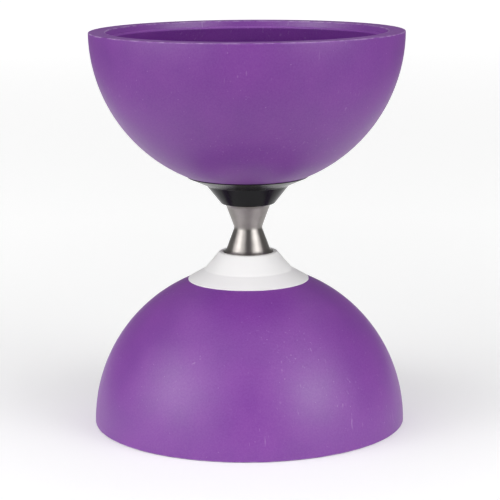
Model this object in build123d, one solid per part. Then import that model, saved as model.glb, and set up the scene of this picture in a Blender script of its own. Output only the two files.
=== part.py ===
from build123d import *
import math
import os

# Freewheel diabolo: two hemispherical cups, rim down and rim up, joined by one
# steel shaft.  A steel spool runs on the shaft between them and takes the string.
# Millimetres.  The origin is the centre of the lower rim, on the shaft's axis,
# and +Z goes up the axis.  Each piece of one end is drawn from the waist outwards,
# with Z as its distance from the waist, and is then placed at the upper end or
# mirrored to the lower end.

# Whole diabolo
cup_diameter = 130.0
rim_to_rim = 163.6
waist_height = rim_to_rim / 2
cup_radius = cup_diameter / 2

# Shaft: ground journal in the middle, threaded ends
shaft_radius = 3.0
thread_radius = 2.5
thread_chamfer = 0.5
thread_showing = 1.5

# Running gear between the hubs, as distances from the waist
clutch_half_length = 5.9
seat_shoulder = 6.0
bearing_width = 5.0
spool_end = seat_shoulder + bearing_width
shim_thickness = 0.6
shim_radius = 3.9
recess_floor = spool_end + shim_thickness

# Spool: rounded waist, straight flanks, flared ends
waist_radius = 5.88
waist_round = 2.5
flank_angle = 20.2
flank_top = 8.7
flare_height = 10.1
spool_end_radius = 10.2
spool_chamfer = 0.25

# Ball bearings, 6 x 13 x 5
bearing_outer_radius = 6.5
bearing_middle = seat_shoulder + bearing_width / 2
inner_race_radius = 3.95
outer_race_radius = 5.55
ball_pitch_radius = 4.75
ball_radius = 0.99
groove_radius = 1.03
ball_count = 8
shield_thickness = 0.25
shield_rebate = 0.4
shield_bore_radius = 4.12
shield_outer_radius = 5.75
cage_inner_radius = 4.3
cage_outer_radius = 5.2
cage_half_width = 1.2
pocket_radius = 1.05

# One-way clutch, 6 x 10 x 12
clutch_outer_radius = 5.0
clutch_shell_wall = 0.5
clutch_lip_radius = 3.3
roller_count = 8
roller_radius = 0.7
roller_length = 7.0
roller_pitch_radius = 3.75
ramp_radius = 1.1
ramp_pitch_radius = 3.5
ramp_lead = 5.0
clutch_cage_inner_radius = 3.15
clutch_cage_outer_radius = 4.35
clutch_pocket_angle = 33.0
clutch_pocket_length = 7.6
clutch_cage_end_play = 0.05
roller_room_angle = 12.0
spring_thickness = 0.15
spring_length = 5.0
spring_reach = 0.54
spring_gap = 0.02
spring_half_height = 0.4

# Hub: a cone with a flange that hugs the cup.  The black one is the slimmer.
recess_radius = 10.5
lip_height = 10.2
lip_inside_chamfer = 0.1
lip_outside_round = 0.9
flange_radius = 25.2
hub_shapes = {
    "upper": {"lip_radius": 11.1, "crease": (17.3, 18.0), "flange_height": 21.52},
    "lower": {"lip_radius": 12.15, "crease": (18.3, 17.6), "flange_height": 21.58},
}
spigot_across_flats = 12.0
spigot_set_back = 0.1
bush_bore_in_hub = 4.0

# Hub bush: metal path for the clamping force
bush_flange_radius = 5.5
bush_flange_thickness = 1.0

# Cup
cup_wall = 3.5
cup_web = 4.75
cup_centre_flat = waist_height - cup_radius + 0.5
cup_boss_flat = cup_centre_flat + cup_web
rim_chamfer = 0.35
rim_inner_radius = 58.0
rim_step_radius = 57.6
rim_step_depth = 2.5
rim_ledge_radius = 56.9
rim_bead_radius = 56.5
rim_bead_depth = 3.0
rim_bead_foot = 3.3
undercut_depth = 11.0
spigot_clearance = 0.1

# Fasteners inside the cup
plate_radius = 14.0
plate_thickness = 2.0
plate_chamfer = 0.6
washer_radius = 5.0
washer_thickness = 1.0
washer_bore_radius = 2.65
nut_across_flats = 8.0
nut_hex_height = 3.7
nut_height = 5.0
nut_collar_radius = 3.75
nut_collar_chamfer = 0.3
nut_crown_slope = 30.0
insert_radius = 3.2
insert_height = 1.2
insert_set_back = 0.1
clearance_bore_radius = 2.6

plate_face = cup_boss_flat + plate_thickness
nut_face = plate_face + washer_thickness
shaft_end = nut_face + nut_height + thread_showing


def turned(*outline):
    """Solid of revolution about Z from a closed outline given as (radius, height)."""
    return revolve(Plane.XZ * make_face(Curve() + list(outline)), Axis.Z)


def turned_polygon(*corners):
    """Solid of revolution from a closed outline of straight lines."""
    return turned(Polyline(*corners, close=True))


def disc(radius, low, high):
    """Plain round disc between two heights."""
    return Pos(0, 0, low) * extrude(Circle(radius), high - low)


def ring(inner_radius, outer_radius, low, high):
    """Plain ring between two heights."""
    section = Circle(outer_radius) - Circle(inner_radius)
    return Pos(0, 0, low) * extrude(section, high - low)


def around(piece, count, start=0.0):
    """Copies of a piece, evenly spaced about the axis."""
    return [Rot(0, 0, start + 360 * step / count) * piece for step in range(count)]


def sphere_height(sphere_radius, radius):
    """Distance from the waist of a point on a sphere centred in the rim plane."""
    return waist_height - math.sqrt(sphere_radius**2 - radius**2)


def sphere_radius_at(sphere_radius, height):
    """Distance from the axis of a point on a sphere centred in the rim plane."""
    return math.sqrt(sphere_radius**2 - (waist_height - height) ** 2)


def sphere_arc(sphere_radius, start, end):
    """Arc between two points (radius, height) of a sphere centred in the rim plane."""
    angles = [math.atan2(height - waist_height, radius) for radius, height in (start, end)]
    middle_angle = sum(angles) / 2
    middle = (
        sphere_radius * math.cos(middle_angle),
        waist_height + sphere_radius * math.sin(middle_angle),
    )
    return ThreePointArc(start, middle, end)


def make_shaft():
    """Ground journal with a threaded end each side and a shoulder at each hub bush."""
    half = turned_polygon(
        (0, 0),
        (shaft_radius, 0),
        (shaft_radius, recess_floor),
        (thread_radius, recess_floor),
        (thread_radius, shaft_end - thread_chamfer),
        (thread_radius - thread_chamfer, shaft_end),
        (0, shaft_end),
    )
    return half + mirror(half, about=Plane.XY)


def make_spool():
    """Hourglass sleeve, bored for the clutch and counterbored for the bearings."""
    lean = math.radians(flank_angle)
    flank_foot = waist_round * math.sin(lean)
    flank_foot_radius = waist_radius + waist_round * (1 - math.cos(lean))
    flank_top_radius = flank_foot_radius + (flank_top - flank_foot) * math.tan(lean)
    waist = ThreePointArc(
        (flank_foot_radius, -flank_foot),
        (waist_radius, 0),
        (flank_foot_radius, flank_foot),
    )
    outside = [waist]
    for side in (-1, 1):
        flank_end = (flank_top_radius, side * flank_top)
        flare = TangentArc(
            flank_end,
            (spool_end_radius, side * flare_height),
            tangent=(math.sin(lean), side * math.cos(lean)),
        )
        end_face = Polyline(
            (spool_end_radius, side * flare_height),
            (spool_end_radius, side * (spool_end - spool_chamfer)),
            (spool_end_radius - spool_chamfer, side * spool_end),
            (bearing_outer_radius, side * spool_end),
            (bearing_outer_radius, side * seat_shoulder),
            (clutch_outer_radius, side * seat_shoulder),
        )
        outside += [Line((flank_foot_radius, side * flank_foot), flank_end), flare, end_face]
    bore = Line((clutch_outer_radius, -seat_shoulder), (clutch_outer_radius, seat_shoulder))
    return turned(*outside, bore)


def make_race_groove():
    """Ring that cuts the ball track into either bearing ring."""
    return Pos(0, 0, bearing_middle) * Torus(ball_pitch_radius, groove_radius)


def make_bearing_inner_ring():
    """Inner ring, pressed on the shaft."""
    blank = ring(shaft_radius, inner_race_radius, seat_shoulder, spool_end)
    return blank - make_race_groove()


def make_bearing_outer_ring():
    """Outer ring, pressed in the spool, rebated at each face for a shield."""
    blank = ring(outer_race_radius, bearing_outer_radius, seat_shoulder, spool_end)
    near_rebate = disc(shield_outer_radius, seat_shoulder, seat_shoulder + shield_rebate)
    far_rebate = disc(shield_outer_radius, spool_end - shield_rebate, spool_end)
    return blank - near_rebate - far_rebate - make_race_groove()


def make_bearing_shield(rebate_floor, towards_face):
    """Thin steel shield that stands in a rebate of the outer ring."""
    other_side = rebate_floor + towards_face * shield_thickness
    low = min(rebate_floor, other_side)
    return ring(shield_bore_radius, shield_outer_radius, low, low + shield_thickness)


def ball_places():
    """Centres of the balls of one bearing, as locations."""
    centre = Pos(ball_pitch_radius, 0, bearing_middle)
    return [Rot(0, 0, 360 * step / ball_count) * centre for step in range(ball_count)]


def make_bearing_balls():
    """The balls of one bearing, as separate solids."""
    return Compound(children=[place * Sphere(ball_radius) for place in ball_places()])


def make_bearing_cage():
    """Ring with one pocket for each ball, drilled from the outside inwards."""
    low = bearing_middle - cage_half_width
    high = bearing_middle + cage_half_width
    cage = ring(cage_inner_radius, cage_outer_radius, low, high)
    drill = Rot(0, 90, 0) * Cylinder(pocket_radius, 2 * pocket_radius)
    for place in ball_places():
        cage -= place * drill
    return cage


def make_thrust_shim():
    """Shim that keeps the spool's end off the floor of the hub recess."""
    return ring(shaft_radius, shim_radius, spool_end, recess_floor)


def make_clutch_shell():
    """Drawn shell with a turned-in lip at each end and a ramp for each roller."""
    bore = clutch_outer_radius - clutch_shell_wall
    shell = ring(bore, clutch_outer_radius, -clutch_half_length, clutch_half_length)
    ramp = Cylinder(ramp_radius, clutch_pocket_length)
    for ramp_copy in around(Pos(ramp_pitch_radius, 0, 0) * ramp, roller_count, ramp_lead):
        shell -= ramp_copy
    lip_height_inside = clutch_half_length - clutch_shell_wall
    lip = ring(clutch_lip_radius, bore, lip_height_inside, clutch_half_length)
    return shell + lip + mirror(lip, about=Plane.XY)


def make_clutch_cage():
    """Moulded ring with a pocket for each roller and its spring."""
    half_length = clutch_half_length - clutch_shell_wall - clutch_cage_end_play
    cage = ring(clutch_cage_inner_radius, clutch_cage_outer_radius, -half_length, half_length)
    reach = clutch_outer_radius
    half_angle = math.radians(clutch_pocket_angle / 2)
    wedge = make_face(
        Polyline(
            (0, 0),
            (reach, -reach * math.tan(half_angle)),
            (reach, reach * math.tan(half_angle)),
            close=True,
        )
    )
    pocket = Pos(0, 0, -clutch_pocket_length / 2) * extrude(wedge, clutch_pocket_length)
    spring_side = clutch_pocket_angle / 2 - roller_room_angle
    for pocket_copy in around(pocket, roller_count, -spring_side):
        cage -= pocket_copy
    return cage


def make_clutch_rollers():
    """Needle rollers, parallel to the shaft, as separate solids."""
    roller = Pos(roller_pitch_radius, 0, 0) * Cylinder(roller_radius, roller_length)
    return Compound(children=around(roller, roller_count))


def make_clutch_springs():
    """One small bent leaf behind each roller, as separate solids."""
    bend = spring_reach - spring_thickness - spring_gap
    leaf = make_face(
        Polyline(
            (-spring_half_height, 0),
            (0, bend),
            (spring_half_height, 0),
            (spring_half_height, spring_thickness),
            (0, bend + spring_thickness),
            (-spring_half_height, spring_thickness),
            close=True,
        )
    )
    spring = Pos(0, 0, -spring_length / 2) * extrude(leaf, spring_length)
    behind_roller = Pos(roller_pitch_radius, -roller_radius - spring_reach, 0)
    return Compound(children=around(behind_roller * spring, roller_count))


def make_hub_bush():
    """Flanged bush between the shaft's shoulder and the clamp plate."""
    flange_top = recess_floor + bush_flange_thickness
    return turned_polygon(
        (thread_radius, recess_floor),
        (bush_flange_radius, recess_floor),
        (bush_flange_radius, flange_top),
        (bush_bore_in_hub, flange_top),
        (bush_bore_in_hub, cup_boss_flat),
        (thread_radius, cup_boss_flat),
    )


def make_hub(lip_radius, crease, flange_height):
    """Moulded hub: recess for the spool's end, cone, flange, and a hexagonal spigot."""
    flange_back = (flange_radius, sphere_height(cup_radius, flange_radius))
    seat_edge = (sphere_radius_at(cup_radius, cup_centre_flat), cup_centre_flat)
    bush_floor = recess_floor + bush_flange_thickness
    slope = math.atan2(crease[1] - lip_height, crease[0] - lip_radius)
    reach = lip_outside_round * math.tan(slope / 2)
    round_start = (lip_radius - reach, lip_height)
    round_end = (
        lip_radius + reach * math.cos(slope),
        lip_height + reach * math.sin(slope),
    )
    lip_outside = TangentArc(round_start, round_end, tangent=(1, 0))
    cone_and_flange = Polyline(
        round_end,
        crease,
        (flange_radius, flange_height),
        flange_back,
    )
    inside = Polyline(
        seat_edge,
        (bush_bore_in_hub, cup_centre_flat),
        (bush_bore_in_hub, bush_floor),
        (bush_flange_radius, bush_floor),
        (bush_flange_radius, recess_floor),
        (recess_radius, recess_floor),
        (recess_radius, lip_height + lip_inside_chamfer),
        (recess_radius + lip_inside_chamfer, lip_height),
        round_start,
    )
    seat = sphere_arc(cup_radius, flange_back, seat_edge)
    body = turned(lip_outside, cone_and_flange, seat, inside)
    hexagon = RegularPolygon(spigot_across_flats / 2, 6, major_radius=False)
    section = hexagon - Circle(bush_bore_in_hub)
    spigot = Pos(0, 0, cup_centre_flat) * extrude(section, cup_web - spigot_set_back)
    return body + spigot


def make_cup():
    """Hemispherical cup with a heavy rim bead and a flat boss at its centre."""
    inner_radius = cup_radius - cup_wall
    rim = waist_height
    outside_low = (sphere_radius_at(cup_radius, cup_centre_flat), cup_centre_flat)
    below_chamfer = rim - rim_chamfer
    outside_high = (sphere_radius_at(cup_radius, below_chamfer), below_chamfer)
    boss_edge = (sphere_radius_at(inner_radius, cup_boss_flat), cup_boss_flat)
    undercut_end_height = rim - undercut_depth
    undercut_end = (sphere_radius_at(inner_radius, undercut_end_height), undercut_end_height)
    rim_outline = Polyline(
        outside_high,
        (cup_radius - rim_chamfer, rim),
        (rim_inner_radius, rim),
        (rim_step_radius, rim - rim_step_depth),
        (rim_ledge_radius, rim - rim_step_depth),
        (rim_bead_radius, rim - rim_bead_depth),
        (rim_bead_radius, rim - rim_bead_foot),
        undercut_end,
    )
    centre = Polyline(
        boss_edge,
        (0, cup_boss_flat),
        (0, cup_centre_flat),
        outside_low,
    )
    outside = sphere_arc(cup_radius, outside_low, outside_high)
    inside = sphere_arc(inner_radius, undercut_end, boss_edge)
    cup = turned(outside, rim_outline, inside, centre)
    hexagon = RegularPolygon(spigot_across_flats / 2 + spigot_clearance, 6, major_radius=False)
    return cup - Pos(0, 0, cup_centre_flat) * extrude(hexagon, cup_web)


def make_clamp_plate():
    """Round plate that spreads the nut's force over the cup's boss."""
    return turned_polygon(
        (clearance_bore_radius, cup_boss_flat),
        (plate_radius, cup_boss_flat),
        (plate_radius, plate_face - plate_chamfer),
        (plate_radius - plate_chamfer, plate_face),
        (clearance_bore_radius, plate_face),
    )


def make_flat_washer():
    """Flat washer under the nut."""
    return ring(washer_bore_radius, washer_radius, plate_face, nut_face)


def make_lock_nut():
    """Self-locking nut: chamfered hexagon with a round collar for the insert."""
    hexagon = RegularPolygon(nut_across_flats / 2, 6, major_radius=False)
    corner_radius = nut_across_flats / math.sqrt(3)
    crown_drop = (corner_radius - nut_collar_radius) * math.tan(math.radians(nut_crown_slope))
    hex_top = nut_face + nut_hex_height
    nut_top = nut_face + nut_height
    envelope = turned_polygon(
        (thread_radius, nut_face),
        (nut_across_flats / 2, nut_face),
        (corner_radius, nut_face + crown_drop / 2),
        (corner_radius, hex_top - crown_drop),
        (nut_collar_radius, hex_top),
        (nut_collar_radius, nut_top - nut_collar_chamfer),
        (nut_collar_radius - nut_collar_chamfer, nut_top),
        (insert_radius, nut_top),
        (insert_radius, nut_top - insert_height),
        (thread_radius, nut_top - insert_height),
    )
    prism = Pos(0, 0, nut_face) * extrude(hexagon, nut_hex_height)
    collar = disc(nut_collar_radius, hex_top, nut_top)
    return (prism + collar) & envelope


def make_nut_insert():
    """Nylon ring that grips the thread."""
    nut_top = nut_face + nut_height
    return ring(thread_radius, insert_radius, nut_top - insert_height, nut_top - insert_set_back)


def export_node(piece, node):
    """One file for one named piece."""
    piece.label = node
    export_step(piece, f"parts/{node}.step")


os.makedirs("parts", exist_ok=True)

middle_pieces = {
    "shaft": make_shaft(),
    "spool": make_spool(),
    "clutch_shell": make_clutch_shell(),
    "clutch_cage": make_clutch_cage(),
    "clutch_rollers": make_clutch_rollers(),
    "clutch_springs": make_clutch_springs(),
}
end_pieces = {
    "cup": make_cup(),
    "hub_bush": make_hub_bush(),
    "clamp_plate": make_clamp_plate(),
    "flat_washer": make_flat_washer(),
    "lock_nut": make_lock_nut(),
    "nut_insert": make_nut_insert(),
    "thrust_shim": make_thrust_shim(),
    "bearing_inner_ring": make_bearing_inner_ring(),
    "bearing_outer_ring": make_bearing_outer_ring(),
    "bearing_cage": make_bearing_cage(),
    "bearing_balls": make_bearing_balls(),
    "bearing_inner_shield": make_bearing_shield(seat_shoulder + shield_rebate, -1),
    "bearing_outer_shield": make_bearing_shield(spool_end - shield_rebate, 1),
}

to_waist = Pos(0, 0, waist_height)
for name, piece in middle_pieces.items():
    export_node(to_waist * piece, name)
for name, piece in end_pieces.items():
    export_node(to_waist * piece, f"upper_{name}")
    export_node(to_waist * mirror(piece, about=Plane.XY), f"lower_{name}")
upper_hub = make_hub(**hub_shapes["upper"])
lower_hub = mirror(make_hub(**hub_shapes["lower"]), about=Plane.XY)
export_node(to_waist * upper_hub, "upper_hub")
export_node(to_waist * lower_hub, "lower_hub")
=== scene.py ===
import math
import bpy
from mathutils import Matrix, Vector


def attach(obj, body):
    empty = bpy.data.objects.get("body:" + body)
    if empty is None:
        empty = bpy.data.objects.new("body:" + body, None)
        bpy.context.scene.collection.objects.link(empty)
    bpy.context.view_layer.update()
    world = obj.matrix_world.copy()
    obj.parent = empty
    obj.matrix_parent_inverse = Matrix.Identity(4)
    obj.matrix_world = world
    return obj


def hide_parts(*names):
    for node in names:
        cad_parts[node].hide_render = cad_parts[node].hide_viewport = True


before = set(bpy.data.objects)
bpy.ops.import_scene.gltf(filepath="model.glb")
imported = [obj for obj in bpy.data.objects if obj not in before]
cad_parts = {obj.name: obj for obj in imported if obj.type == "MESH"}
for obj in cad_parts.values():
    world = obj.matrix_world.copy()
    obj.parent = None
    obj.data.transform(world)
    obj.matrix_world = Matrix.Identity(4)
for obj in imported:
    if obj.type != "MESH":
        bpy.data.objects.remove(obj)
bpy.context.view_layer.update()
bpy.ops.object.select_all(action="DESELECT")

# ---------------------------------------------------------------- shaft
# A ground steel rod that carries both cups.  Its middle is the journal that the
# clutch and the bearings run on.  Each end is turned down from a shoulder and cut
# with an M5 thread for the nut.
MM = 0.001
waist_height = 81.8
journal_radius = 3.0
shoulder_height = 11.6
thread_radius = 2.5
thread_pitch = 0.8
thread_depth = 0.43
groove_half_width = 0.42  # as a share of the pitch
thread_length = 10.0
thread_chamfer = 0.5
shaft_end = 31.55
rings_per_pitch = 8
weld_distance = 0.0005


def soften(outline, segments=5, holding=1.6):
    """The points of a closed outline of corners (radius, height, rounding).  Each rounding is an arc between
    two points that hold the flats beside it.  A corner with no rounding stays sharp."""
    points = []
    for index, corner in enumerate(outline):
        here = Vector(corner[:2])
        if len(corner) < 3:
            points.append(here)
            continue
        before = (Vector(outline[index - 1][:2]) - here).normalized()
        after = (Vector(outline[(index + 1) % len(outline)][:2]) - here).normalized()
        half = before.angle(after) / 2
        reach = corner[2] / math.tan(half)
        centre = here + (before + after).normalized() * corner[2] / math.sin(half)
        start = here + before * reach - centre
        turn_by = start.angle_signed(here + after * reach - centre)
        points.append(here + before * reach * holding)
        for step in range(segments + 1):
            turned_by = -turn_by * step / segments
            points.append(centre + Matrix.Rotation(turned_by, 2) @ start)
        points.append(here + after * reach * holding)
    return points


def turn(name, outline, end=1, steps=96):
    """Turns a piece about the axis from a closed outline in millimetres, whose corners are (radius, distance
    from the waist, rounding).  end is 1 for the upper end of the diabolo and -1 for the lower."""
    bpy.ops.object.select_all(action="DESELECT")
    points = [Vector((r, 0, waist_height + end * h)) * MM for r, h in soften(outline)]
    bpy.ops.mesh.primitive_plane_add(size=MM, location=(0, 0, 0))
    piece = bpy.context.object
    piece.name = piece.data.name = name
    bpy.ops.object.mode_set(mode="EDIT")
    bpy.ops.mesh.select_mode(type="VERT")
    bpy.ops.mesh.select_all(action="SELECT")
    bpy.ops.mesh.merge(type="CENTER")
    bpy.ops.transform.translate(value=points[0])
    for here, there in zip(points, points[1:] + points[:1]):
        bpy.ops.mesh.extrude_region_move(TRANSFORM_OT_translate={"value": there - here})
    bpy.ops.mesh.select_all(action="SELECT")
    bpy.ops.mesh.spin(steps=steps, angle=math.tau, center=(0, 0, 0), axis=(0, 0, 1))
    bpy.ops.mesh.select_all(action="SELECT")
    bpy.ops.mesh.remove_doubles(threshold=weld_distance * MM)
    bpy.ops.mesh.normals_make_consistent(inside=False)
    bpy.ops.object.mode_set(mode="OBJECT")
    return piece


def hand_in(piece, finish, body, slot, *nodes, sharp=35):
    """Shades the piece smooth up to a sharp angle, gives it its finish, sets it under the empty of its body
    and hides the parts of model.glb that it stands for.
    """
    bpy.ops.object.select_all(action="DESELECT")
    bpy.context.view_layer.objects.active = piece
    piece.select_set(True)
    bpy.ops.object.shade_smooth_by_angle(angle=math.radians(sharp))
    piece.select_set(False)
    piece.data.materials.clear()
    piece.data.materials.append(finish)
    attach(piece, body)
    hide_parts(*nodes)


def make_finish(name, colour, roughness, **settings):
    """A material, with what is the same all over it, such as Specular_IOR_Level, on the shader's sockets."""
    finish = bpy.data.materials.new(name)
    finish.use_nodes = True
    shader = finish.node_tree.nodes["Principled BSDF"]
    shader.inputs["Base Color"].default_value = (*colour, 1)
    shader.inputs["Roughness"].default_value = roughness
    for setting, value in settings.items():
        shader.inputs[setting.replace("_", " ")].default_value = value
    return finish


def add_node(finish, kind, sockets, **choices):
    """Adds a node.  A socket is given a number, or the other node's output that feeds it."""
    made = finish.node_tree.nodes.new("ShaderNode" + kind)
    for choice, value in choices.items():
        setattr(made, choice, value)
    for socket, value in sockets.items():
        if isinstance(value, bpy.types.NodeSocket):
            finish.node_tree.links.new(value, made.inputs[socket])
        else:
            made.inputs[socket].default_value = value
    return made


def feed(finish, socket, output):
    """Feeds an output to the shader's own socket."""
    shader = finish.node_tree.nodes["Principled BSDF"]
    finish.node_tree.links.new(output, shader.inputs[socket])


def stretched(finish, scale):
    """Object coordinates in metres, multiplied by a scale for each direction."""
    place = add_node(finish, "TexCoord", {})
    sockets = {"Vector": place.outputs["Object"], "Scale": scale}
    return add_node(finish, "Mapping", sockets).outputs["Vector"]


def cloud(finish, scale, detail=2.0, spread=(1, 1, 1)):
    """Soft noise from 0 to 1, with about scale times spread blots to the metre in each direction."""
    sockets = {"Vector": stretched(finish, spread), "Scale": scale, "Detail": detail, "Roughness": 0.55}
    return add_node(finish, "TexNoise", sockets).outputs[0]


def graded(finish, value, low, high, to_low=0.0, to_high=1.0):
    """A value taken from one range to another, and held at the ends of it."""
    sockets = {"Value": value, "From Min": low, "From Max": high, "To Min": to_low, "To Max": to_high}
    return add_node(finish, "MapRange", sockets, clamp=True).outputs["Result"]


def shaded(finish, amount, colour, other):
    """A blend of two colours by an amount from 0 to 1.  Either colour may be another node's output."""
    blend = add_node(finish, "Mix", {}, data_type="RGBA")
    tree = finish.node_tree
    tree.links.new(amount, blend.inputs["Factor"])
    for socket, value in ((blend.inputs[6], colour), (blend.inputs[7], other)):
        if isinstance(value, bpy.types.NodeSocket):
            tree.links.new(value, socket)
        else:
            socket.default_value = (*value, 1)
    return blend.outputs[2]


def bumped(finish, height, distance, strength=1.0):
    """Raises the surface by a height from 0 to 1 times a distance in millimetres."""
    sockets = {"Height": height, "Distance": distance * MM, "Strength": strength}
    feed(finish, "Normal", add_node(finish, "Bump", sockets).outputs["Normal"])


def machined_steel(name, colour, roughness, lines, **settings):
    """Bare metal with so many tool lines to the metre round the axis and a faint unevenness of tone."""
    finish = make_finish(name, colour, roughness, Metallic=1.0, **settings)
    rings = cloud(finish, 1.0, 3.0, (40, 40, lines))
    tone = cloud(finish, 180, 3.0)
    darker = tuple(channel * 0.86 for channel in colour)
    feed(finish, "Base Color", shaded(finish, graded(finish, tone, 0.3, 0.6), darker, colour))
    feed(finish, "Roughness", graded(finish, rings, 0.3, 0.7, roughness * 0.82, roughness * 1.18))
    bumped(finish, rings, 0.004, 0.6)
    return finish


outline = [
    (0, -shaft_end),
    (thread_radius - thread_chamfer, -shaft_end),
    (thread_radius, -shaft_end + thread_chamfer),
]
thread_rings = round(thread_length / thread_pitch * rings_per_pitch)
for ring in range(1, thread_rings):
    outline.append((thread_radius, -shaft_end + thread_chamfer + ring * thread_pitch / rings_per_pitch))
outline += [(thread_radius, -shoulder_height), (journal_radius, -shoulder_height)]
outline += [(radius, -height) for radius, height in reversed(outline)]
shaft = turn("threaded_shaft", outline, steps=48)
for vertex in shaft.data.vertices:
    height = vertex.co.z / MM - waist_height
    radius = math.hypot(vertex.co.x, vertex.co.y) / MM
    from_tip = shaft_end - abs(height)
    if radius > thread_radius - thread_chamfer and thread_chamfer <= from_tip < thread_length:
        around = math.atan2(vertex.co.y, vertex.co.x) / math.tau
        along = (height / thread_pitch - around) % 1
        groove = max(0.0, 1 - abs(along - 0.5) / groove_half_width)
        fade = min(1.0, (thread_length - from_tip) / thread_pitch)
        cut = thread_depth * groove * fade / radius
        vertex.co.x *= 1 - cut
        vertex.co.y *= 1 - cut
ground_steel = machined_steel("ground shaft steel", (0.55, 0.55, 0.55), 0.3, 9000)
hand_in(shaft, ground_steel, "cup_assembly", "shaft_steel", "shaft", sharp=50)

# ---------------------------------------------------------------- running gear
# A drawn-cup roller clutch and two ball bearings, hidden in the spool: hardened
# rollers, leaf springs and a nylon cage, balls in nylon cages between polished
# rings, pressed shields, and the shims and bushes that set them off the hubs.
polished_steel = machined_steel("polished bearing steel", (0.7, 0.7, 0.7), 0.14, 5000)
hardened_steel = machined_steel("hardened clutch steel", (0.45, 0.45, 0.44), 0.34, 5000)
dark_nylon = make_finish("dark glass-filled nylon", (0.06, 0.06, 0.055), 0.5)
fibres = cloud(dark_nylon, 3500, 2.0, (1, 1, 0.2))
tone = shaded(dark_nylon, fibres, (0.045, 0.045, 0.042), (0.085, 0.085, 0.08))
feed(dark_nylon, "Base Color", tone)
feed(dark_nylon, "Roughness", graded(dark_nylon, fibres, 0.3, 0.7, 0.42, 0.6))
bumped(dark_nylon, fibres, 0.01, 0.4)
gear_finishes = {
    "clutch_shell": hardened_steel,
    "clutch_springs": hardened_steel,
    "clutch_rollers": polished_steel,
    "clutch_cage": dark_nylon,
    "thrust_shim": hardened_steel,
    "hub_bush": ground_steel,
    "bearing_cage": dark_nylon,
    "bearing": polished_steel,
}
gear_nodes = ["clutch_shell", "clutch_springs", "clutch_rollers", "clutch_cage"]
for side in ("upper", "lower"):
    gear_nodes += [f"{side}_{piece}" for piece in ("thrust_shim", "hub_bush")]
    for piece in ("inner_ring", "outer_ring", "cage", "balls", "inner_shield", "outer_shield"):
        gear_nodes.append(f"{side}_bearing_{piece}")
for node in gear_nodes:
    kind = node.replace("upper_", "").replace("lower_", "")
    finish = gear_finishes.get(kind, gear_finishes["bearing"])
    for material_slot in bpy.data.objects[node].material_slots:
        material_slot.material = finish

# ---------------------------------------------------------------- spool
# The hourglass sleeve that the string runs on, turned from stainless steel in one
# piece.  Its outside keeps the fine rings of the tool, its ends flare to a thin
# land, and it is bored for the clutch and counterbored for the bearings.
waist_radius = 5.88
waist_round = 2.5
flank_lean = math.radians(20.2)
flank_top = 8.7
flare_radius = 10.2
flare_height = 10.1
land_height = 10.18
spool_end = 11.0
bearing_seat_radius = 6.5
bearing_shoulder = 6.0
clutch_bore_radius = 5.0
arc_steps = 6

foot_height = waist_round * math.sin(flank_lean)
foot_radius = waist_radius + waist_round * (1 - math.cos(flank_lean))
flank_top_radius = foot_radius + (flank_top - foot_height) * math.tan(flank_lean)
waist_arc = []
for step in range(-arc_steps, arc_steps + 1):
    lean = flank_lean * step / arc_steps
    waist_arc.append((waist_radius + waist_round * (1 - math.cos(lean)), waist_round * math.sin(lean)))
half = []
for share in (0.02, 0.3, 0.65, 1.0):
    height = foot_height + (flank_top - foot_height) * share
    half.append((foot_radius + (height - foot_height) * math.tan(flank_lean), height))
flare_chord = Vector((flare_radius - flank_top_radius, flare_height - flank_top))
flare_swing = math.atan2(flare_chord.x, flare_chord.y) - flank_lean
for step in range(1, arc_steps + 1):
    lean = flank_lean + flare_swing * step / arc_steps
    reach = flare_chord.length * math.sin(flare_swing * step / arc_steps) / math.sin(flare_swing)
    half.append((flank_top_radius + reach * math.sin(lean), flank_top + reach * math.cos(lean)))
half += [
    (flare_radius, land_height),
    (flare_radius, spool_end, 0.18),
    (bearing_seat_radius, spool_end, 0.2),
    (bearing_seat_radius, bearing_shoulder),
    (clutch_bore_radius, bearing_shoulder),
]
outline = [(corner[0], -corner[1], *corner[2:]) for corner in reversed(half)] + waist_arc + half
spool = turn("turned_spool", outline, steps=144)
stainless = machined_steel(
    "turned stainless steel",
    (0.37, 0.347, 0.33),
    0.38,
    7000,
    Anisotropic=0.8,
    Anisotropic_Rotation=0.25,
)
hand_in(spool, stainless, "spool", "turned_stainless", "spool", sharp=24)

# ---------------------------------------------------------------- hubs
# Two moulded plastic hubs, black above and white below.  Each is a cone with a
# recess for the spool's end, and a thin flange that hugs the cup.  A hexagonal
# spigot on its back keys into the cup, and a steel bush fills its bore.
recess_radius = 10.5
recess_floor = 11.6
lip_height = 10.2
flange_radius = 25.2
cup_radius = 65.0
cup_centre_flat = 17.3
hub_flat_radius = 8.0
spigot_across_flats = 12.0
spigot_length = 4.65
run_in = 1.0  # how far a cutting tool, or the root of a spigot, runs past the face it meets
bush_radius = 4.0
bush_flange_radius = 5.5
bush_flange_thickness = 1.0


def sphere_point(sphere_radius, radius):
    """A point of a sphere centred in the rim plane, as (radius, distance from the waist)."""
    return (radius, waist_height - math.sqrt(sphere_radius**2 - radius**2))


def sphere_curve(sphere_radius, first_radius, last_radius, count):
    """Points along a sphere centred in the rim plane, evenly spaced by angle."""
    first = math.asin(first_radius / sphere_radius)
    last = math.asin(last_radius / sphere_radius)
    angles = [first + (last - first) * step / count for step in range(count + 1)]
    return [sphere_point(sphere_radius, sphere_radius * math.sin(angle)) for angle in angles]


def hexagonal_bar(name, across_flats, low, high, end):
    """A hexagonal bar on the axis between two distances from the waist."""
    bpy.ops.object.select_all(action="DESELECT")
    middle = (waist_height + end * (low + high) / 2) * MM
    corner_radius = across_flats / math.sqrt(3) * MM
    bpy.ops.mesh.primitive_cylinder_add(
        vertices=6, radius=corner_radius, depth=(high - low) * MM, location=(0, 0, middle)
    )
    bar = bpy.context.object
    bar.name = bar.data.name = name
    bpy.ops.object.transform_apply(location=True)
    return bar


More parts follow.
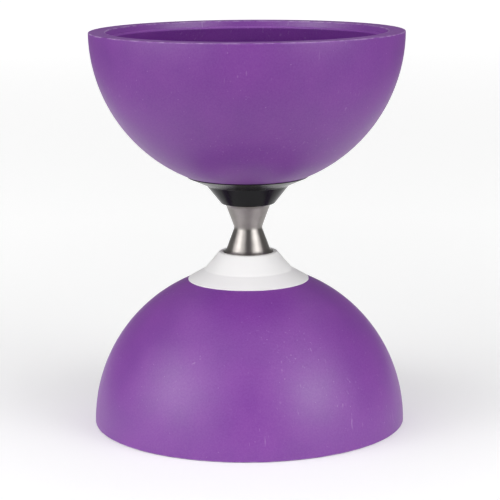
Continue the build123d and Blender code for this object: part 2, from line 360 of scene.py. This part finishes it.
def carve(piece, tool, operation="DIFFERENCE"):
    """Cuts the tool from the piece, joins it on, or keeps what both share, and takes the tool away."""
    boolean = piece.modifiers.new("carve", "BOOLEAN")
    boolean.operation = operation
    boolean.solver = "EXACT"
    boolean.object = tool
    bpy.ops.object.select_all(action="DESELECT")
    bpy.context.view_layer.objects.active = piece
    piece.select_set(True)
    bpy.ops.object.modifier_apply(modifier="carve")
    bpy.data.objects.remove(tool)
    return piece


black_plastic = make_finish("glossy black plastic", (0.008, 0.008, 0.009), 0.2, Specular_IOR_Level=0.12)
haze = cloud(black_plastic, 90, 4.0)
feed(black_plastic, "Roughness", graded(black_plastic, haze, 0.35, 0.7, 0.16, 0.24))
tone = shaded(black_plastic, haze, (0.006, 0.006, 0.007), (0.012, 0.012, 0.013))
feed(black_plastic, "Base Color", tone)
bumped(black_plastic, cloud(black_plastic, 900, 2.0), 0.006, 0.3)

white_plastic = make_finish("satin white plastic", (0.8, 0.797, 0.786), 0.36)
haze = cloud(white_plastic, 70, 4.0)
tone = shaded(white_plastic, haze, (0.78, 0.777, 0.766), (0.82, 0.817, 0.806))
feed(white_plastic, "Base Color", tone)
feed(white_plastic, "Roughness", graded(white_plastic, haze, 0.35, 0.7, 0.3, 0.44))
bumped(white_plastic, cloud(white_plastic, 1600, 2.0), 0.01, 0.35)

bush_outline = [
    (0, recess_floor - run_in),
    (bush_flange_radius, recess_floor - run_in),
    (bush_flange_radius, recess_floor + bush_flange_thickness),
    (bush_radius, recess_floor + bush_flange_thickness),
    (bush_radius, cup_centre_flat + spigot_length + run_in),
    (0, cup_centre_flat + spigot_length + run_in),
]
for side, end, lip_radius, crease, flange_height, finish, slot in (
    ("upper", 1, 11.1, (17.3, 18.0), 21.52, black_plastic, "black_plastic"),
    ("lower", -1, 12.15, (18.3, 17.6), 21.58, white_plastic, "white_plastic"),
):
    hub_outline = [
        (0, recess_floor),
        (recess_radius, recess_floor, 0.15),
        (recess_radius, lip_height, 0.12),
        (lip_radius, lip_height, 0.9),
        (*crease, 1.6),
        (flange_radius, flange_height, 0.12),
        sphere_point(cup_radius, flange_radius),
        *sphere_curve(cup_radius, flange_radius - 0.4, hub_flat_radius, 18),
        (0, cup_centre_flat),
    ]
    hub = turn(f"{side}_moulded_hub", hub_outline, end, steps=128)
    low, high = cup_centre_flat - run_in, cup_centre_flat + spigot_length
    carve(hub, hexagonal_bar("spigot", spigot_across_flats, low, high, end), "UNION")
    carve(hub, turn("bush_bore", bush_outline, end, steps=64))
    hand_in(hub, finish, "cup_assembly", slot, f"{side}_hub", sharp=30)

# ---------------------------------------------------------------- cups
# Two hemispherical cups injection moulded in tough purple plastic, with a fine
# satin texture outside.  The rim is a flat ring with a step and a heavy bead
# inside it, and the centre is a flat boss with a hexagonal hole for the hub.
both_ends = (("upper", 1), ("lower", -1))
rim_height = waist_height
cup_flat_radius = 8.05
rim_inner_radius = 58.0
step_height = 79.3
bead_radius = 56.5
bead_height = 78.8
bead_foot = 78.5
undercut_depth = 11.0
inner_radius = 61.5
bowl_top_radius = 59.6
bowl_bottom_radius = 16.5
boss_radius = 14.56
boss_height = 22.05
hex_hole_across_flats = 12.2

purple_plastic = make_finish(
    "textured purple plastic", (0.165, 0.03, 0.262), 0.42, Specular_IOR_Level=0.5
)
deep_purple = (0.15, 0.027, 0.248)
clear_purple = (0.18, 0.034, 0.278)
pale_purple = (0.4, 0.26, 0.52)
wear_and_highlight_purple = (0.5, 0.38, 0.58)
mottle = cloud(purple_plastic, 55, 4.0)
grain = cloud(purple_plastic, 1500, 2.0)
colour = shaded(purple_plastic, graded(purple_plastic, mottle, 0.3, 0.7), deep_purple, clear_purple)
raised_grain = graded(purple_plastic, grain, 0.3, 0.75, 0.0, 0.1)
colour = shaded(purple_plastic, raised_grain, colour, pale_purple)


def worked_out(finish, operation, *values):
    """One or two values put through a sum such as SUBTRACT."""
    return add_node(finish, "Math", dict(enumerate(values)), operation=operation).outputs[0]


def product(finish, *values):
    """Values multiplied together."""
    result = values[0]
    for value in values[1:]:
        result = worked_out(finish, "MULTIPLY", result, value)
    return result


# moulding specks and short scratches, thinly scattered
speck_place = {"Vector": stretched(purple_plastic, (1, 1, 1)), "Scale": 420}
specks = add_node(purple_plastic, "TexVoronoi", speck_place)
near_speck = graded(purple_plastic, specks.outputs["Distance"], 0.06, 0.12, 1.0, 0.0)
chance = add_node(purple_plastic, "SeparateColor", {"Color": specks.outputs["Color"]}).outputs[0]
picked = graded(purple_plastic, chance, 0.6, 0.95)
colour = shaded(purple_plastic, product(purple_plastic, near_speck, picked, 0.5), colour, pale_purple)
lines = cloud(purple_plastic, 1.0, 2.0, (900, 900, 60))
patches = graded(purple_plastic, cloud(purple_plastic, 28, 1.0), 0.52, 0.6)
scratch = product(purple_plastic, graded(purple_plastic, lines, 0.66, 0.72), patches, 0.3)
colour = shaded(purple_plastic, scratch, colour, pale_purple)

# the flat of each rim is rubbed pale where the diabolo has stood; its edges are painted pale, partly as wear
# and partly as a painted edge highlight
place = add_node(purple_plastic, "TexCoord", {}).outputs["Object"]
split = add_node(purple_plastic, "SeparateXYZ", {"Vector": place})
rise = worked_out(purple_plastic, "SUBTRACT", split.outputs["Z"], waist_height * MM)
from_waist = worked_out(purple_plastic, "ABSOLUTE", rise)
sideways = {"X": split.outputs["X"], "Y": split.outputs["Y"]}
sideways = add_node(purple_plastic, "CombineXYZ", sideways).outputs["Vector"]
from_axis = add_node(purple_plastic, "VectorMath", {0: sideways}, operation="LENGTH").outputs["Value"]
at_rim = graded(purple_plastic, from_waist, (rim_height - 0.5) * MM, (rim_height - 0.15) * MM)
at_outer_edge = graded(purple_plastic, from_axis, (cup_radius - 0.9) * MM, (cup_radius - 0.3) * MM)
inner_edge_start, inner_edge_end = (rim_inner_radius + 0.2) * MM, (rim_inner_radius + 0.45) * MM
at_inner_edge = graded(purple_plastic, from_axis, inner_edge_start, inner_edge_end, 1.0, 0.0)
rubbed = graded(purple_plastic, cloud(purple_plastic, 160, 5.0), 0.5, 0.64)
chafe_and_highlight_patches = graded(purple_plastic, cloud(purple_plastic, 300, 4.0), 0.4, 0.62)
edge = worked_out(purple_plastic, "MAXIMUM", at_outer_edge, at_inner_edge)
colour = shaded(purple_plastic, product(purple_plastic, at_rim, rubbed, 0.08), colour, wear_and_highlight_purple)
# painted edge highlight: the pale line along the rim's edges stands partly for wear and partly for light
# caught on the rounded edges
edge_wear_and_highlight = product(purple_plastic, at_rim, chafe_and_highlight_patches, 0.5, edge)
colour = shaded(purple_plastic, edge_wear_and_highlight, colour, wear_and_highlight_purple)
feed(purple_plastic, "Base Color", colour)
feed(purple_plastic, "Roughness", graded(purple_plastic, mottle, 0.3, 0.7, 0.38, 0.46))
bumped(purple_plastic, grain, 0.02, 0.5)

cup_outline = [
    (0, cup_centre_flat),
    *sphere_curve(cup_radius, cup_flat_radius, cup_radius - 0.02, 60),
    (cup_radius, rim_height, 0.35),
    (rim_inner_radius, rim_height, 0.22),
    (rim_inner_radius - 0.4, step_height, 0.12),
    (bead_radius + 0.4, step_height, 0.15),
    (bead_radius, bead_height, 0.12),
    (bead_radius, bead_foot, 0.1),
    (*sphere_point(inner_radius, math.sqrt(inner_radius**2 - undercut_depth**2)), 1.2),
    *sphere_curve(inner_radius, bowl_top_radius, bowl_bottom_radius, 44),
    (boss_radius, boss_height, 0.8),
    (0, boss_height),
]
for side, end in both_ends:
    cup = turn(f"{side}_moulded_cup", cup_outline, end, steps=192)
    low, high = cup_centre_flat - run_in, boss_height + run_in
    carve(cup, hexagonal_bar("hole", hex_hole_across_flats, low, high, end))
    hand_in(cup, purple_plastic, "cup_assembly", "purple_plastic", f"{side}_cup", sharp=30)

# ---------------------------------------------------------------- clamp plates
# A round plate turned from aluminium lies on the boss inside each cup.  The nut
# holds it there, and it spreads the nut's pull over the plastic.
plate_radius = 14.0
plate_face = boss_height + 2.0
plate_hole_radius = 2.6
plate_chamfer = 0.6
aluminium = machined_steel("turned aluminium", (0.74, 0.74, 0.75), 0.34, 400)
for side, end in both_ends:
    plate_outline = [
        (plate_hole_radius, boss_height),
        (plate_radius, boss_height),
        (plate_radius, plate_face - plate_chamfer),
        (plate_radius - plate_chamfer, plate_face),
        (plate_hole_radius, plate_face),
    ]
    plate = turn(f"{side}_turned_plate", plate_outline, end, steps=96)
    hand_in(plate, aluminium, "cup_assembly", "satin_aluminium", f"{side}_clamp_plate")

# ---------------------------------------------------------------- washers
# A flat washer, punched from steel sheet and zinc plated, sits under each nut and
# keeps it from digging into the softer plate.
washer_thickness = 1.0
washer_radius = 5.0
washer_hole_radius = 2.65
zinc_plate = machined_steel("bright zinc plate", (0.66, 0.67, 0.69), 0.26, 300)
for side, end in both_ends:
    washer_outline = [
        (washer_hole_radius, plate_face),
        (washer_radius, plate_face, 0.08),
        (washer_radius, plate_face + washer_thickness, 0.2),
        (washer_hole_radius, plate_face + washer_thickness, 0.1),
    ]
    washer = turn(f"{side}_punched_washer", washer_outline, end, steps=72)
    hand_in(washer, zinc_plate, "cup_assembly", "zinc_plate", f"{side}_flat_washer")

# ---------------------------------------------------------------- lock nuts
# A self-locking M5 nut clamps each end: a chamfered hexagon below, and a round
# collar rolled in over a blue nylon ring that grips the thread.
nut_face = plate_face + washer_thickness
nut_top = nut_face + 5.0
nut_across_flats = 8.0
nut_corner_radius = nut_across_flats / math.sqrt(3)
nut_face_radius = 3.9
nut_chamfer = 0.4
hexagon_top = nut_face + 3.2
collar_foot = nut_face + 3.7
collar_radius = 3.75
collar_lip_radius = 3.0
ring_radius = 3.2
ring_top = nut_top - 0.2
ring_foot = nut_top - 1.2
ring_lip_radius = 2.95
ring_lip = nut_top - 0.1
blue_nylon = make_finish("blue nylon", (0.05, 0.14, 0.42), 0.4)
haze = cloud(blue_nylon, 900, 3.0)
tone = shaded(blue_nylon, haze, (0.04, 0.115, 0.37), (0.06, 0.165, 0.47))
feed(blue_nylon, "Base Color", tone)
bumped(blue_nylon, haze, 0.02, 0.4)
for side, end in both_ends:
    nut_outline = [
        (thread_radius, nut_face),
        (nut_face_radius, nut_face),
        (nut_corner_radius, nut_face + nut_chamfer),
        (nut_corner_radius, hexagon_top),
        (collar_radius, collar_foot),
        (collar_radius, nut_top, 0.35),
        (collar_lip_radius, nut_top, 0.1),
        (collar_lip_radius, ring_top),
        (ring_radius, ring_top),
        (ring_radius, ring_foot),
        (thread_radius, ring_foot),
    ]
    nut = turn(f"{side}_nylon_lock_nut", nut_outline, end, steps=72)
    flats = hexagonal_bar("flats", nut_across_flats, nut_face - run_in, nut_top + run_in, end)
    carve(nut, flats, "INTERSECT")
    hand_in(nut, zinc_plate, "cup_assembly", "zinc_plate", f"{side}_lock_nut")
    insert_outline = [
        (thread_radius, ring_foot),
        (ring_radius, ring_foot),
        (ring_radius, ring_top),
        (ring_lip_radius, ring_lip, 0.05),
        (thread_radius, ring_lip, 0.1),
    ]
    insert = turn(f"{side}_nylon_ring", insert_outline, end, steps=48)
    hand_in(insert, blue_nylon, "cup_assembly", "blue_nylon", f"{side}_nut_insert")

# ---------------------------------------------------------------- studio
# A wide pale floor, lit white under and behind the diabolo, a wide softbox with a
# hot middle to the left and to the right, one more overhead, and a camera in front.
# Lengths here are in metres.
floor_radius = 8
floor_drop = 0.0002
bpy.ops.object.select_all(action="DESELECT")
bpy.ops.mesh.primitive_circle_add(
    vertices=96, radius=floor_radius, fill_type="NGON", location=(0, 0, -floor_drop)
)
floor = bpy.context.object
floor.name = "floor"
bpy.ops.object.transform_apply(location=True)
pale_grey = (0.22, 0.22, 0.22)
floor_white = (0.76, 0.76, 0.76)
dim_glow = 0.06
floor_finish = make_finish("pale floor", floor_white, 0.6, Specular_IOR_Level=0.2)
floor_finish.node_tree.nodes["Principled BSDF"].inputs["Emission Color"].default_value = (1, 1, 1, 1)
place = add_node(floor_finish, "TexCoord", {}).outputs["Object"]
split = add_node(floor_finish, "SeparateXYZ", {"Vector": place})
aside = worked_out(floor_finish, "ABSOLUTE", split.outputs["X"])
half_width = graded(floor_finish, split.outputs["Y"], -0.2, 4.0, 0.12, 0.82)
beyond = worked_out(floor_finish, "SUBTRACT", aside, half_width)
in_width = graded(floor_finish, beyond, 0.0, 0.2, 1.0, 0.0)
in_length = graded(floor_finish, split.outputs["Y"], -0.28, -0.12)
lit = product(floor_finish, in_width, in_length)
feed(floor_finish, "Base Color", shaded(floor_finish, lit, pale_grey, floor_white))
away = add_node(floor_finish, "VectorMath", {0: place}, operation="LENGTH").outputs["Value"]
near_glow = graded(floor_finish, away, 0.1, 0.5, 0.14, 0.34)
far_glow = graded(floor_finish, away, 0.5, 2.5, 0.0, 0.5)
glow = product(floor_finish, worked_out(floor_finish, "ADD", near_glow, far_glow), lit)
feed(floor_finish, "Emission Strength", worked_out(floor_finish, "ADD", glow, dim_glow))
floor.data.materials.append(floor_finish)


def softbox(name, azimuth, distance, height, width, tall, watts):
    """A flat light that faces the waist of the diabolo, so many degrees to the right of the front."""
    light = bpy.data.lights.new(name, "AREA")
    light.shape = "RECTANGLE"
    light.size = width
    light.size_y = tall
    light.energy = watts
    box = bpy.data.objects.new(name, light)
    bpy.context.scene.collection.objects.link(box)
    angle = math.radians(azimuth)
    box.location = (distance * math.sin(angle), -distance * math.cos(angle), height)
    aim = Vector((0, 0, waist_height * MM)) - box.location
    box.rotation_euler = aim.to_track_quat("-Z", "Y").to_euler()
    box.visible_camera = False


softbox("left softbox", -58, distance=1.05, height=0.52, width=1.6, tall=1.05, watts=10.0)
softbox("left hot middle", -60, distance=1.0, height=0.48, width=0.5, tall=0.5, watts=2.6)
softbox("right softbox", 54, distance=1.05, height=0.52, width=1.2, tall=1.05, watts=7.6)
softbox("right hot middle", 51, distance=1.0, height=0.47, width=0.5, tall=0.5, watts=2.7)
softbox("overhead softbox", 0, distance=0.01, height=2.0, width=3.0, tall=3.0, watts=24)

# the walls of the room are a little brighter than its ceiling
room = bpy.data.worlds.new("studio")
bpy.context.scene.world = room
room.use_nodes = True
backdrop = room.node_tree.nodes["Background"]
backdrop.inputs["Color"].default_value = (1, 1, 1, 1)
direction = add_node(room, "TexCoord", {}).outputs["Generated"]
upwards = add_node(room, "SeparateXYZ", {"Vector": direction}).outputs["Z"]
brightness = graded(room, upwards, 0.1, 0.35, 0.24, 0.13)
room.node_tree.links.new(brightness, backdrop.inputs["Strength"])

camera = bpy.data.cameras.new("camera")
camera.lens = 134.27
camera.sensor_width = 36
camera.shift_y = -0.078
camera.clip_start = 0.01
camera_object = bpy.data.objects.new("camera", camera)
bpy.context.scene.collection.objects.link(camera_object)
camera_object.location = (0, -0.7657, 0.2205)
yaw = Matrix.Rotation(math.radians(-0.0605), 3, "Z")
pitch = Matrix.Rotation(math.radians(80.22), 3, "X")
roll = Matrix.Rotation(math.radians(-0.388), 3, "Z")
camera_object.rotation_euler = (yaw @ pitch @ roll).to_euler()
bpy.context.scene.camera = camera_object
bpy.context.scene.view_settings.view_transform = "Standard"
